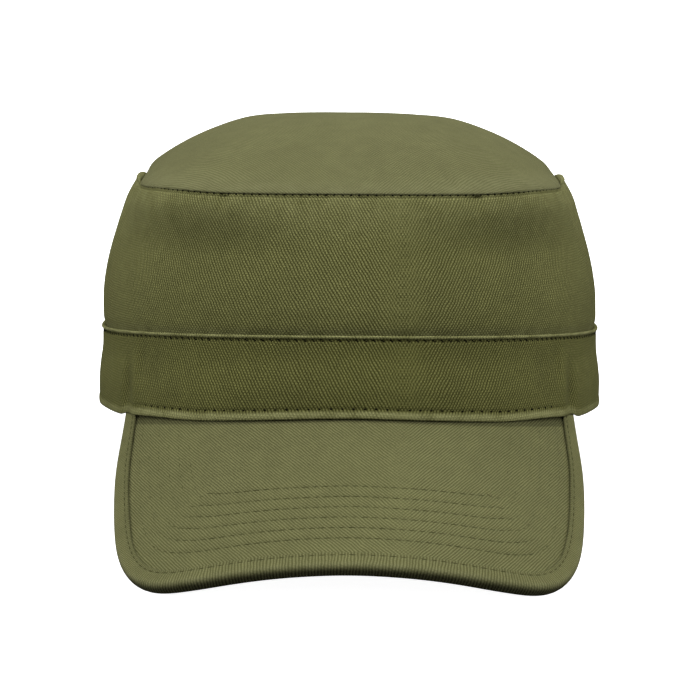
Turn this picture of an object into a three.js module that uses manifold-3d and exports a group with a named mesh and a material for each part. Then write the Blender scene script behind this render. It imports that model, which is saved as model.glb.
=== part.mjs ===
// Patrol cap: a domed crown on an oval wall, a doubled band and a stiff peak with a bound edge.
// Millimetres, +Z up, front of the cap towards -Y, resting on its peak corners and the back of its rim.
import * as THREE from "three";
import { mergeVertices } from "three/addons/utils/BufferGeometryUtils.js";
import Module from "manifold-3d";

const wasm = await Module();
wasm.setup();

// Crown and band sizes, heights measured up from the plane of the rim
const rimHalfWidth = 85.6;
const rimFrontLength = 103;
const rimBackLength = 103;
const ovalPower = 2.2;
const bandHeight = 26.2;
const bandFrontRise = 3.7;
const seamFrontHeight = 73;
const seamBackHeight = 77;
const crestHeight = 98.1;
const seamRidge = 0.9;
const seamRidgeHeight = 1.8;
const topCloth = 1.4;
const wallCloth = 1.4;
const bandCloth = 1.6;
const wallLift = 1;
const creaseDepth = 1.4;

// Peak sizes
const peakHalfWidth = 71.6;
const peakReach = 54.4;
const peakCornerLength = 91;
const peakPower = 4.2;
const peakSlope = THREE.MathUtils.degToRad(32.4);
const archSpread = 0.29;
const peakEndDrop = 1.9;
const peakEndWidth = 5;
const boardThickness = 2.2;
const bindingWidth = 5.5;
const bindingCloth = 1;

// Fits and facets
const gap = 0.3;
const restPress = 0.6;
const edgeFadeStart = THREE.MathUtils.degToRad(1.5);
const edgeFadeLength = THREE.MathUtils.degToRad(7.5);
const anglesAround = 64;
const stepsAlongPeak = 44;
const rowsAcrossPeak = 6;

// Band sections: height as a share of bandHeight, size as a share of the rim's oval
const bandSections = [
  { height: 0, size: 0.99 },
  { height: 0.035, size: 0.998 },
  { height: 0.08, size: 0.998 },
  { height: 0.11, size: 0.993 },
  { height: 0.3, size: 0.994 },
  { height: 0.5, size: 0.989 },
  { height: 0.7, size: 0.98 },
  { height: 0.94, size: 0.978 },
  { height: 0.955, size: 0.984 },
  { height: 1, size: 0.982 },
];

// Wall sections above the band: height as a share of the way from the band's lip to the crown seam,
// side, front and back as shares of the rim's half width and half lengths
const wallSections = [
  { height: 0.05, side: 0.971, front: 0.972, back: 0.972 },
  { height: 0.13, side: 0.979, front: 0.979, back: 0.98 },
  { height: 0.25, side: 0.976, front: 0.974, back: 0.979 },
  { height: 0.38, side: 0.965, front: 0.964, back: 0.971 },
  { height: 0.51, side: 0.95, front: 0.951, back: 0.959 },
  { height: 0.64, side: 0.929, front: 0.936, back: 0.944 },
  { height: 0.77, side: 0.906, front: 0.919, back: 0.927 },
  { height: 0.89, side: 0.881, front: 0.901, back: 0.909 },
  { height: 1, side: 0.85, front: 0.882, back: 0.892 },
];

// Top sections: size as a share of the seam's oval, rise as a share of the dome's height over the seam
const topSections = [
  { size: 0.985, rise: 0.075 },
  { size: 0.94, rise: 0.19 },
  { size: 0.865, rise: 0.37 },
  { size: 0.772, rise: 0.555 },
  { size: 0.656, rise: 0.735 },
  { size: 0.495, rise: 0.91 },
  { size: 0.32, rise: 0.97 },
  { size: 0.15, rise: 0.993 },
];

// Soft creases of the band near the peak's ends, on both sides: angle from the front and halfAngle in degrees,
// middle and halfHeight as shares of bandHeight, depth as a share of creaseDepth
const bandCreases = [
  { angle: 50, halfAngle: 3.5, middle: 0.3, halfHeight: 0.38, depth: 1 },
  { angle: 40, halfAngle: 6, middle: 0.5, halfHeight: 0.35, depth: 0.5 },
];

function mix(from, to, share) {
  return from + (to - from) * share;
}

// Size of the band's outside at a height, read between the sections
function bandSize(height) {
  const next = Math.max(1, bandSections.findIndex((section) => section.height >= height));
  const before = bandSections[next - 1];
  const after = bandSections[next];
  return mix(before.size, after.size, (height - before.height) / (after.height - before.height));
}

// The rim's oval, seen from above: angle 0 is the front, a quarter turn is +X
function ovalRadius(angle, side, front, back) {
  const length = Math.cos(angle) > 0 ? front * rimFrontLength : back * rimBackLength;
  const across = Math.abs(Math.sin(angle)) / (side * rimHalfWidth);
  const along = Math.abs(Math.cos(angle)) / length;
  return (across ** ovalPower + along ** ovalPower) ** (-1 / ovalPower);
}

function planPoint(angle, radius) {
  return new THREE.Vector2(radius * Math.sin(angle), -radius * Math.cos(angle));
}

// Depth in front of the centre at which an oval inset from the rim is halfWidth wide
function ovalDepth(halfWidth, inset) {
  const share = halfWidth / (rimHalfWidth - inset);
  return (rimFrontLength - inset) * (1 - share ** ovalPower) ** (1 / ovalPower);
}

// The peak's board: an arch across the cap that slopes down and widens to the front, and meets the rim at its
// two ends. archSpread is what the arch's radius gains for each millimetre forward.
const peakTuck = bandCloth + gap + wallCloth;
const peakEndDepth = ovalDepth(peakHalfWidth, 0);
const archDrop = bandFrontRise + (rimFrontLength - peakEndDepth) * Math.tan(peakSlope) + peakEndDrop;
const endArchRadius = (peakHalfWidth ** 2 + archDrop ** 2) / (2 * archDrop);

function archRadius(y) {
  return endArchRadius + archSpread * (-y - peakEndDepth);
}

function boardHeight(x, y) {
  const forward = -y - rimFrontLength;
  const radius = archRadius(y);
  const acrossDrop = radius - Math.sqrt(Math.max(0, radius ** 2 - x ** 2));
  return bandFrontRise - gap - forward * Math.tan(peakSlope) - acrossDrop;
}

function boardNormal(x, y) {
  const radius = archRadius(y);
  const centreHeight = Math.sqrt(Math.max(1, radius ** 2 - x ** 2));
  const slopeAlong = archSpread * (radius / centreHeight - 1) - Math.tan(peakSlope);
  return new THREE.Vector3(x / centreHeight, slopeAlong, 1).normalize();
}

// Lower edge of the band: it rests on the board and its binding in front, and lies in the rim's plane behind
const peakEndAngle = Math.atan2(peakHalfWidth, peakEndDepth);

function edgeHeight(angle, point) {
  const pastEnd = Math.abs(angle) - peakEndAngle - edgeFadeStart;
  const overBinding = THREE.MathUtils.smoothstep(
    Math.abs(point.x), peakHalfWidth - bindingWidth - 2, peakHalfWidth - bindingWidth,
  );
  const clear = gap + (bindingCloth + gap) * overBinding;
  const height = boardHeight(point.x, point.y) + clear / boardNormal(point.x, point.y).z;
  return Math.max(0, height) * (1 - THREE.MathUtils.smoothstep(pastEnd, 0, edgeFadeLength));
}

function lipHeight(angle) {
  return bandHeight + bandFrontRise * Math.max(0, Math.cos(angle)) ** 2;
}

function seamHeight(angle) {
  const towardsBack = THREE.MathUtils.smoothstep(-Math.cos(angle), -0.45, 0.55);
  return mix(seamFrontHeight, seamBackHeight, towardsBack);
}

function creaseAt(angle, height) {
  const turn = THREE.MathUtils.radToDeg(Math.abs(angle));
  let depth = 0;
  for (const crease of bandCreases) {
    const across = Math.min(1, Math.abs(turn - crease.angle) / crease.halfAngle);
    const up = Math.min(1, Math.abs(height - crease.middle) / crease.halfHeight);
    depth += crease.depth * creaseDepth * (1 - across) * (1 - up ** 2);
  }
  return depth;
}

// Angles of the facets, from -180 to 180 degrees, with the creases' own angles added
function facetAngles() {
  const turns = Array.from({ length: anglesAround }, (_, i) => -180 + (360 * i) / anglesAround);
  const creaseTurns = bandCreases.flatMap(({ angle, halfAngle }) => [angle - halfAngle, angle, angle + halfAngle]);
  const nearest = 90 / anglesAround;
  for (const turn of creaseTurns.flatMap((value) => [-value, value])) {
    if (turns.every((other) => Math.abs(other - turn) > nearest)) {
      turns.push(turn);
    }
  }
  return turns.sort((a, b) => a - b).map(THREE.MathUtils.degToRad);
}

const angles = facetAngles();

// Profiles are lists of points in the upright plane through the middle at one angle: radius out, height up
function bandRadius(angle, height) {
  const size = bandSize(height);
  return ovalRadius(angle, size, size, size) - creaseAt(angle, height);
}

function bandPoint(angle, height, inset) {
  const radius = bandRadius(angle, height) - inset;
  const edge = edgeHeight(angle, planPoint(angle, radius));
  return new THREE.Vector2(radius, mix(edge, lipHeight(angle), height));
}

function bandProfile(angle) {
  const outside = bandSections.map(({ height }) => bandPoint(angle, height, 0));
  const inside = [0.97, 0.5, 0.1, 0].map((height) => bandPoint(angle, height, bandCloth));
  inside[0].y = lipHeight(angle);
  return [...outside, ...inside];
}

// Points moved inwards by the cloth's thickness, square to the run of the profile
function insideOf(points, cloth) {
  return points.map((point, i) => {
    const before = points[Math.max(0, i - 1)];
    const after = points[Math.min(points.length - 1, i + 1)];
    const run = after.clone().sub(before).normalize();
    return new THREE.Vector2(point.x - cloth * run.y, point.y + cloth * run.x);
  });
}

function seamRadius(angle) {
  const { side, front, back } = wallSections[wallSections.length - 1];
  return ovalRadius(angle, side, front, back);
}

function wallProfile(angle) {
  const lip = lipHeight(angle);
  const seam = seamHeight(angle) - gap / 2;
  const behindBand = [0, 0.5, 0.93].map((height) => bandPoint(angle, height, bandCloth + gap));
  behindBand[0].y += wallLift;
  const above = wallSections.slice(0, -1).map(({ height, side, front, back }) =>
    new THREE.Vector2(ovalRadius(angle, side, front, back), mix(lip, seam, height)));
  const outer = seamRadius(angle);
  const skin = [...behindBand, ...above, new THREE.Vector2(outer, seam)];
  const ridge = [
    new THREE.Vector2(outer + seamRidge / 3, seam - seamRidgeHeight),
    new THREE.Vector2(outer + seamRidge, seam - seamRidgeHeight / 2),
    new THREE.Vector2(outer + seamRidge, seam),
  ];
  const inside = insideOf(skin, wallCloth).slice(0, -1).filter((_, i) => i % 2 === 0);
  const innerTop = new THREE.Vector2(outer - wallCloth, seam);
  return [...behindBand, ...above, ...ridge, innerTop, ...inside.reverse()];
}

function topOutline(angle) {
  const seam = seamHeight(angle) + gap / 2;
  const outer = seamRadius(angle);
  const dome = topSections.map(({ size, rise }) => new THREE.Vector2(outer * size, mix(seam, crestHeight, rise)));
  return [new THREE.Vector2(outer + seamRidge, seam), new THREE.Vector2(outer + seamRidge, seam + seamRidgeHeight / 2),
    ...dome];
}

// The top panel's inner side, from its edge to its middle
function topLining(angle) {
  const seam = seamHeight(angle) + gap / 2;
  const outer = seamRadius(angle);
  const dome = topOutline(angle).slice(2);
  const inside = insideOf([...dome, new THREE.Vector2(0, crestHeight)], topCloth).slice(1, -1);
  return [new THREE.Vector2(outer - topCloth, seam), ...inside];
}

// Closed bodies from rows of points: every row has the same number of points
function gridFaces(rowCount, pointCount, rowsClose, pointsClose, flipped) {
  const faces = [];
  const rowEnd = rowsClose ? rowCount : rowCount - 1;
  const pointEnd = pointsClose ? pointCount : pointCount - 1;
  for (let row = 0; row < rowEnd; row += 1) {
    for (let point = 0; point < pointEnd; point += 1) {
      const nextRow = (row + 1) % rowCount;
      const nextPoint = (point + 1) % pointCount;
      const a = row * pointCount + point;
      const b = row * pointCount + nextPoint;
      const c = nextRow * pointCount + nextPoint;
      const d = nextRow * pointCount + point;
      faces.push(...(flipped ? [a, c, b, a, d, c] : [a, b, c, a, c, d]));
    }
  }
  return faces;
}

function geometryFrom(points, faces) {
  const geometry = new THREE.BufferGeometry();
  geometry.setAttribute("position", new THREE.Float32BufferAttribute(points.flatMap((p) => [p.x, p.y, p.z]), 3));
  geometry.setIndex(faces);
  return geometry;
}

function spacePoint(angle, profilePoint) {
  const plan = planPoint(angle, profilePoint.x);
  return new THREE.Vector3(plan.x, plan.y, profilePoint.y);
}

function ringGeometry(profileAt) {
  const points = angles.flatMap((angle) => profileAt(angle).map((point) => spacePoint(angle, point)));
  const faces = gridFaces(angles.length, points.length / angles.length, true, true, true);
  return geometryFrom(points, faces);
}

function topGeometry() {
  const profileAt = (angle) => [...topOutline(angle).reverse(), ...topLining(angle)];
  const points = angles.flatMap((angle) => profileAt(angle).map((point) => spacePoint(angle, point)));
  const pointCount = points.length / angles.length;
  const faces = gridFaces(angles.length, pointCount, true, false, false);
  const crest = points.push(new THREE.Vector3(0, 0, crestHeight)) - 1;
  const underCrest = points.push(new THREE.Vector3(0, 0, crestHeight - topCloth)) - 1;
  angles.forEach((_, row) => {
    const here = row * pointCount;
    const next = ((row + 1) % angles.length) * pointCount;
    faces.push(crest, here, next);
    faces.push(underCrest, next + pointCount - 1, here + pointCount - 1);
  });
  return geometryFrom(points, faces);
}

// Plan of the peak: outer edge from end to end, and inner edge tucked under the band
function peakOuterEdge() {
  const cornerDepth = rimFrontLength + peakReach - peakCornerLength;
  const endDepth = ovalDepth(peakHalfWidth, peakTuck) + peakEndWidth / 2;
  const samples = 240;
  const points = [];
  for (let i = 0; i <= samples; i += 1) {
    const turn = (Math.PI * i) / samples;
    const x = -Math.sign(Math.cos(turn)) * Math.abs(Math.cos(turn)) ** (2 / peakPower) * peakHalfWidth;
    const y = -cornerDepth - Math.sin(turn) ** (2 / peakPower) * peakCornerLength;
    points.push(new THREE.Vector2(x, y));
  }
  const middle = (cornerDepth + endDepth) / 2;
  const leftSide = [endDepth, middle].map((depth) => new THREE.Vector2(-peakHalfWidth, -depth));
  const rightSide = [middle, endDepth].map((depth) => new THREE.Vector2(peakHalfWidth, -depth));
  return new THREE.SplineCurve([...leftSide, ...points, ...rightSide]).getSpacedPoints(stepsAlongPeak);
}

function peakInnerEdge() {
  const endX = peakHalfWidth - peakEndWidth;
  const endAngle = Math.atan2(endX, ovalDepth(endX, peakTuck));
  const samples = 80;
  const points = [];
  for (let i = 0; i <= samples; i += 1) {
    const angle = mix(-endAngle, endAngle, i / samples);
    points.push(planPoint(angle, ovalRadius(angle, 1, 1, 1) - peakTuck));
  }
  return new THREE.SplineCurve(points).getSpacedPoints(stepsAlongPeak);
}

function onBoard(plan, depth) {
  const surface = new THREE.Vector3(plan.x, plan.y, boardHeight(plan.x, plan.y));
  return surface.addScaledVector(boardNormal(plan.x, plan.y), -depth);
}

function peakGeometry() {
  const outer = peakOuterEdge();
  const inner = peakInnerEdge();
  const points = [];
  outer.forEach((outerPoint, i) => {
    const plans = [];
    for (let row = 0; row <= rowsAcrossPeak; row += 1) {
      plans.push(inner[i].clone().lerp(outerPoint, row / rowsAcrossPeak));
    }
    points.push(...plans.map((plan) => onBoard(plan, 0)));
    points.push(...plans.reverse().map((plan) => onBoard(plan, boardThickness)));
  });
  const loop = 2 * (rowsAcrossPeak + 1);
  const faces = gridFaces(outer.length, loop, false, true, false);
  const lastStart = (outer.length - 1) * loop;
  for (let row = 0; row < rowsAcrossPeak; row += 1) {
    const across = [row, row + 1, loop - 2 - row, loop - 1 - row];
    const [a, b, c, d] = across;
    faces.push(a, c, b, a, d, c);
    const [e, f, g, h] = across.map((index) => index + lastStart);
    faces.push(e, f, g, e, g, h);
  }
  return geometryFrom(points, faces);
}

// The binding's folded section: out past the board's edge, and up from the board's top
function bindingSection() {
  const top = gap + bindingCloth;
  const bottom = -boardThickness - top;
  const innerTop = gap;
  const innerBottom = -boardThickness - gap;
  const round = 0.4 * bindingCloth;
  return [
    [-bindingWidth, innerTop],
    [gap, innerTop],
    [gap, innerBottom],
    [-bindingWidth, innerBottom],
    [-bindingWidth, bottom],
    [0, bottom],
    [top - round, bottom + round],
    [top, innerBottom + round],
    [top, innerTop - round],
    [top - round, top - round],
    [0, top],
    [-bindingWidth, top],
  ].map(([out, up]) => new THREE.Vector2(out, up));
}

function bindingGeometry() {
  const edge = peakOuterEdge().map((plan) => onBoard(plan, 0));
  const section = bindingSection();
  const points = edge.flatMap((point, i) => {
    const before = edge[Math.max(0, i - 1)];
    const after = edge[Math.min(edge.length - 1, i + 1)];
    const run = after.clone().sub(before).normalize();
    const up = boardNormal(point.x, point.y);
    const out = new THREE.Vector3().crossVectors(up, run).normalize().negate();
    return section.map((corner) => point.clone().addScaledVector(out, corner.x).addScaledVector(up, corner.y));
  });
  const faces = gridFaces(edge.length, section.length, false, true, true);
  const cap = THREE.ShapeUtils.triangulateShape(section, []);
  const lastStart = (edge.length - 1) * section.length;
  for (const [a, b, c] of cap) {
    faces.push(a, b, c);
    faces.push(lastStart + a, lastStart + c, lastStart + b);
  }
  return geometryFrom(points, faces);
}

// Solids for the cut that flattens the cloth where the cap rests
function toSolid(geometry) {
  const bare = geometry.clone();
  bare.deleteAttribute("normal");
  bare.deleteAttribute("uv");
  const merged = mergeVertices(bare, 1e-5);
  return new wasm.Manifold(new wasm.Mesh({
    numProp: 3,
    vertProperties: merged.attributes.position.array,
    triVerts: Uint32Array.from(merged.index.array),
  }));
}

function toGeometry(solid) {
  const { vertProperties, triVerts } = solid.getMesh();
  const geometry = new THREE.BufferGeometry();
  geometry.setAttribute("position", new THREE.BufferAttribute(vertProperties, 3));
  geometry.setIndex(new THREE.BufferAttribute(triVerts, 1));
  return geometry;
}

// Rest: the cap leans back until the peak's corners and the back of the rim are level
function lowestPoint(geometry, lean) {
  const { position } = geometry.attributes;
  let lowest = Infinity;
  for (let i = 0; i < position.count; i += 1) {
    lowest = Math.min(lowest, position.getZ(i) * Math.cos(lean) - position.getY(i) * Math.sin(lean));
  }
  return lowest;
}

function restLean(peakEdge, rim) {
  let low = 0;
  let high = Math.PI / 4;
  while (high - low > 1e-9) {
    const middle = (low + high) / 2;
    if (lowestPoint(peakEdge, middle) < lowestPoint(rim, middle)) {
      low = middle;
    } else {
      high = middle;
    }
  }
  return low;
}

const geometries = {
  crown_top: topGeometry(),
  crown_wall: ringGeometry(wallProfile),
  band: ringGeometry(bandProfile),
  peak: peakGeometry(),
  peak_binding: bindingGeometry(),
};

const colours = {
  crown_top: 0x747450,
  crown_wall: 0x67673f,
  band: 0x5a5a35,
  peak: 0x6d6d49,
  peak_binding: 0x6a6b46,
};

// The leaning cap stands with its box's bottom centre at the origin
const lean = restLean(geometries.peak_binding, geometries.band);
const cap = new THREE.Group();
cap.rotation.x = -lean;
for (const [name, geometry] of Object.entries(geometries)) {
  const material = new THREE.MeshStandardMaterial({ color: colours[name], roughness: 0.95, metalness: 0 });
  const mesh = new THREE.Mesh(geometry, material);
  mesh.name = name;
  cap.add(mesh);
}
const box = new THREE.Box3().setFromObject(cap, true);
cap.position.set(-(box.min.x + box.max.x) / 2, -(box.min.y + box.max.y) / 2, -box.min.z - restPress);
cap.updateMatrixWorld(true);

// Cloth is pressed flat on the surface that the cap rests on
const floorSize = 4 * (rimFrontLength + rimBackLength);
const floorGeometry = new THREE.BoxGeometry(floorSize, floorSize, floorSize);
floorGeometry.translate(0, 0, -floorSize / 2);
floorGeometry.applyMatrix4(cap.matrixWorld.clone().invert());
const floor = toSolid(floorGeometry);
for (const mesh of cap.children) {
  const meshBox = new THREE.Box3().setFromObject(mesh, true);
  if (meshBox.min.z < 0) {
    mesh.geometry = toGeometry(toSolid(mesh.geometry).subtract(floor));
  }
}

const group = new THREE.Group();
group.add(cap);

export default group;
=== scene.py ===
import bmesh
import bpy
import math
import numpy as np
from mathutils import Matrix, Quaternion, Vector


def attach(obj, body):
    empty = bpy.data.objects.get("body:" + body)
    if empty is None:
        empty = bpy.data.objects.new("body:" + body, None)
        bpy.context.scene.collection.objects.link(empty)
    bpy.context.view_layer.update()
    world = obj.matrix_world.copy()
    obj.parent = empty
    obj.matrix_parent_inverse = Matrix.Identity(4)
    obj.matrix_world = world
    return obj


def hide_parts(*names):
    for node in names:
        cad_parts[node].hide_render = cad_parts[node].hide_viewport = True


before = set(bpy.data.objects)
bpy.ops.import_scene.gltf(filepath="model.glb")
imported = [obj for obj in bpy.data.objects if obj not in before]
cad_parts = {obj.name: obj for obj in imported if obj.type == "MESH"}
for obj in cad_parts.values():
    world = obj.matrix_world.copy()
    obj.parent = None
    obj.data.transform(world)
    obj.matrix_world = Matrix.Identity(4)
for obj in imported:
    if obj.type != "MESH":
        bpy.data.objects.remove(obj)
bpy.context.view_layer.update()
mm = 0.001
mergeDistance = 0.002 * mm

# Shape rules shared by the pieces, in millimetres, in the cap's own frame: rim plane at z = 0, front at -y

oval = {
    "halfWidth": 85.6,
    "frontLength": 103.0,
    "backLength": 103.0,
    "power": 2.2,
}
gap = 0.3


def smooth(value, start, end):
    share = np.clip((value - start) / (end - start), 0.0, 1.0)
    return share * share * (3.0 - 2.0 * share)


def mix(start, end, share):
    return start + (end - start) * share


def smoothTable(keys, values, at):
    # a curve through the rows of a table that doesn't overshoot between them
    keys, values = np.asarray(keys, float), np.asarray(values, float)
    slopes = np.diff(values) / np.diff(keys)
    tangents = np.concatenate([[slopes[0]], (slopes[1:] + slopes[:-1]) / 2.0, [slopes[-1]]])
    tangents[1:-1][slopes[1:] * slopes[:-1] <= 0.0] = 0.0
    row = np.clip(np.searchsorted(keys, at) - 1, 0, len(keys) - 2)
    width = keys[row + 1] - keys[row]
    t = (at - keys[row]) / width
    return ((2 * t**3 - 3 * t**2 + 1) * values[row] + (t**3 - 2 * t**2 + t) * width * tangents[row]
            + (3 * t**2 - 2 * t**3) * values[row + 1] + (t**3 - t**2) * width * tangents[row + 1])


def ovalRadius(angle, side, front, back):
    length = np.where(np.cos(angle) > 0.0, front * oval["frontLength"], back * oval["backLength"])
    across = np.abs(np.sin(angle)) / (side * oval["halfWidth"])
    along = np.abs(np.cos(angle)) / length
    return (across ** oval["power"] + along ** oval["power"]) ** (-1.0 / oval["power"])


def ovalDepth(halfWidth, inset):
    share = halfWidth / (oval["halfWidth"] - inset)
    return (oval["frontLength"] - inset) * (1.0 - share ** oval["power"]) ** (1.0 / oval["power"])


def roundPoints(radius, angle, height):
    # places round the cap's axis, where angle 0 is the front
    return np.stack(np.broadcast_arrays(radius * np.sin(angle), -radius * np.cos(angle), height), axis=-1)


def roundAngles(count):
    return np.linspace(-math.pi, math.pi, count, endpoint=False)[None, :]


def turnDegrees(angle):
    # how far round from the front, the same on both sides
    return np.degrees(np.abs(angle))


def bell(value, middle, width):
    return np.exp(-((value - middle) / width) ** 2)


def runLength(points):
    # distance along a line of points from its first one
    steps = np.linalg.norm(np.diff(points, axis=0), axis=1)
    return np.concatenate([[0.0], np.cumsum(steps)])


def clothGrid(along, up):
    return np.stack(np.broadcast_arrays(along, up), axis=-1)


def unit(vectors):
    return vectors / np.linalg.norm(vectors, axis=-1, keepdims=True)


def ripples(angle, seed, count, low, high):
    # soft uneven waves round the cap, the same on every run
    dice = np.random.default_rng(seed)
    wave = np.zeros_like(angle)
    for _ in range(count):
        turns = dice.integers(low, high)
        wave = wave + dice.uniform(0.4, 1.0) * np.sin(turns * angle + dice.uniform(0.0, 2.0 * math.pi))
    return wave / math.sqrt(count)


# Meshes

def worldPoints(points):
    # from the cap's own frame to the leaning cap on the floor, pressed flat where it rests
    x, y, z = points[..., 0], points[..., 1], points[..., 2]
    placed = np.stack([
        x,
        y * rest["cosine"] + z * rest["sine"] + rest["shift"],
        np.maximum(z * rest["cosine"] - y * rest["sine"] + rest["lift"], 0.0),
    ], axis=-1)
    return placed * mm


def gridPiece(name, points, uv, marks, wrapRows=False, wrapColumns=False, capEnds=False):
    # points: rows x columns x 3; uv has one more row or column than points where the grid wraps
    rowCount, columnCount = points.shape[:2]
    rows = np.arange(rowCount if wrapRows else rowCount - 1)
    columns = np.arange(columnCount if wrapColumns else columnCount - 1)
    r, c = np.meshgrid(rows, columns, indexing="ij")
    r, c = r.ravel(), c.ravel()
    corners = [(r, c), (r, c + 1), (r + 1, c + 1), (r + 1, c)]
    faces = np.stack([(a % rowCount) * columnCount + b % columnCount for a, b in corners], axis=1)
    lastRow, lastColumn = uv.shape[0] - 1, uv.shape[1] - 1
    faceUv = np.stack([uv[np.minimum(a, lastRow), np.minimum(b, lastColumn)] for a, b in corners], axis=1)
    mesh = bpy.data.meshes.new(name)
    mesh.from_pydata(worldPoints(points).reshape(-1, 3).tolist(), [], faces.tolist())
    layer = mesh.uv_layers.new(name="cloth")
    layer.data.foreach_set("uv", (faceUv * mm).ravel())
    for mark, values in marks.items():
        attribute = mesh.attributes.new(mark, "FLOAT", "POINT")
        values = np.broadcast_to(values, (rowCount, columnCount)).ravel()
        attribute.data.foreach_set("value", values.astype(np.float32))
    body = bmesh.new()
    body.from_mesh(mesh)
    bmesh.ops.remove_doubles(body, verts=body.verts, dist=mergeDistance)
    if capEnds:
        openEdges = [edge for edge in body.edges if edge.is_boundary]
        bmesh.ops.holes_fill(body, edges=openEdges, sides=0)
    bmesh.ops.recalc_face_normals(body, faces=body.faces)
    body.to_mesh(mesh)
    body.free()
    mesh.polygons.foreach_set("use_smooth", [True] * len(mesh.polygons))
    piece = bpy.data.objects.new(name, mesh)
    bpy.context.collection.objects.link(piece)
    return piece


def dress(piece, material, slot, *nodes):
    piece.data.materials.append(material)
    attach(piece, "root")
    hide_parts(*nodes)


# Peak: an arched board that slopes to the front, with rows of stitching and a bound edge

peak = {
    "halfWidth": 71.6,
    "reach": 55.8,
    "cornerLength": 92.0,
    "spread": 1.009,
    "drift": 0.2,
    "bulge": 0.013,
    "bulgeDepth": 88.0,
    "bulgeLength": 20.0,
    "power": 4.4,
    "slope": math.tan(math.radians(32.4)),
    "archSpread": 0.29,
    "endDrop": 1.9,
    "endWidth": 5.0,
    "thickness": 2.2,
    "tuck": 3.3,
    "rowOffsets": (12.3, 17.0, 21.7, 26.4, 31.1, 35.9),
    "rowSqueeze": 0.76,
    "sideRise": 0.8,
    "middleFall": 0.7,
    "rowMiddles": (0.2, -0.25),
    "rowEnds": (0.6, 3.6),
    "rowMargin": 3.0,
    "weaveFall": 0.85,
    "grooveDepth": 0.1,
    "grooveWidth": 0.6,
    "puff": 0.08,
    "columns": 400,
    "rows": 96,
}
binding = {
    "width": 5.5,
    "gap": 0.12,
    "cloth": 0.75,
    "underFold": 0.8,
    "steps": 560,
    "stitchInset": 1.3,
    "stitchSink": 0.16,
    "wobble": 0.12,
    "wobbleSteps": 14,
}
bandShape = {
    "height": 26.2,
    "frontRise": 3.7,
    "cloth": 1.6,
}

peakEndDepth = ovalDepth(peak["halfWidth"], 0.0)
archDrop = bandShape["frontRise"] + (oval["frontLength"] - peakEndDepth) * peak["slope"] + peak["endDrop"]
endArchRadius = (peak["halfWidth"] ** 2 + archDrop ** 2) / (2.0 * archDrop)


def archRadius(y):
    return endArchRadius + peak["archSpread"] * (-y - peakEndDepth)


def boardHeight(x, y):
    # the arch and slope, eased up beside the middle of the front and down at it
    forward = -y - oval["frontLength"]
    radius = archRadius(y)
    drop = radius - np.sqrt(np.maximum(radius**2 - x**2, 1.0))
    side = np.abs(x)
    ease = peak["sideRise"] * smooth(side, 8.0, 46.0) * (1.0 - smooth(side, 46.0, 66.0))
    ease = (ease - peak["middleFall"] * (1.0 - smooth(side, 0.0, 40.0))) * smooth(forward, 5.0, peak["reach"])
    return bandShape["frontRise"] - gap - forward * peak["slope"] - drop + ease


def boardNormal(x, y):
    radius = archRadius(y)
    centre = np.sqrt(np.maximum(radius**2 - x**2, 1.0))
    fall = peak["archSpread"] * (radius / centre - 1.0) - peak["slope"]
    return unit(np.stack([x / centre, fall, np.ones_like(x)], axis=-1))


def flatBoard(x, y):
    # the board rolled out flat, for cloth directions and distances along it
    radius = archRadius(y)
    along = (-y - oval["frontLength"]) * math.sqrt(1.0 + peak["slope"] ** 2)
    return np.stack([radius * np.arcsin(np.clip(x / radius, -1.0, 1.0)), -along], axis=-1)


def evenPoints(points, count):
    run = runLength(points)
    at = np.linspace(0.0, run[-1], count)
    return np.stack([np.interp(at, run, points[:, axis]) for axis in range(points.shape[1])], axis=1)


def peakOuterEdge(count):
    cornerDepth = oval["frontLength"] + peak["reach"] - peak["cornerLength"]
    endDepth = ovalDepth(peak["halfWidth"], peak["tuck"]) + peak["endWidth"] / 2.0
    turn = np.linspace(0.0, math.pi, 4001)
    x = -np.sign(np.cos(turn)) * np.abs(np.cos(turn)) ** (2.0 / peak["power"]) * peak["halfWidth"]
    y = -cornerDepth - np.sin(turn) ** (2.0 / peak["power"]) * peak["cornerLength"]
    ends = np.array([[peak["halfWidth"], -endDepth]])
    points = np.concatenate([ends * (-1.0, 1.0), np.stack([x, y], axis=1), ends])
    return evenPoints(points, count)


def peakInnerEdge(count):
    endX = peak["halfWidth"] - peak["endWidth"]
    endAngle = math.atan2(endX, ovalDepth(endX, peak["tuck"]))
    angle = np.linspace(-endAngle, endAngle, 400)
    radius = ovalRadius(angle, 1.0, 1.0, 1.0) - peak["tuck"]
    return evenPoints(roundPoints(radius, angle, 0.0)[:, :2], count)


def onBoard(plan, depth):
    # places at a depth under the arched board, from its plan
    x, y = plan[..., 0], plan[..., 1]
    surface = np.stack([x, y, boardHeight(x, y)], axis=-1)
    points = surface - boardNormal(x, y) * np.asarray(depth)[..., None]
    wide = peak["spread"] + peak["bulge"] * bell(y, -peak["bulgeDepth"], peak["bulgeLength"])
    points[..., 0] = points[..., 0] * wide + peak["drift"]
    return points


def rowPlane(flat):
    # stretched sideways, so that rows at one distance lie closer to the sides than to the front
    return flat * (1.0 / peak["rowSqueeze"], 1.0)


def rowShift(x, distance, side):
    # rows run flatter than the edge: nearer to it in the middle, further back towards their ends
    span = (peak["rowOffsets"][0], peak["rowOffsets"][-1])
    middle, ends = np.interp(distance, span, peak["rowMiddles"]), np.interp(distance, span, peak["rowEnds"])
    return (1.0 - side) * (middle + ends * smooth(np.abs(x), 6.0, 48.0))


def sidewaysShare(line):
    # how far each part of a line on the board runs front to back
    return smooth(np.abs(unit(np.gradient(line, axis=0))[:, 1]), 0.5, 0.95)


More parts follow.
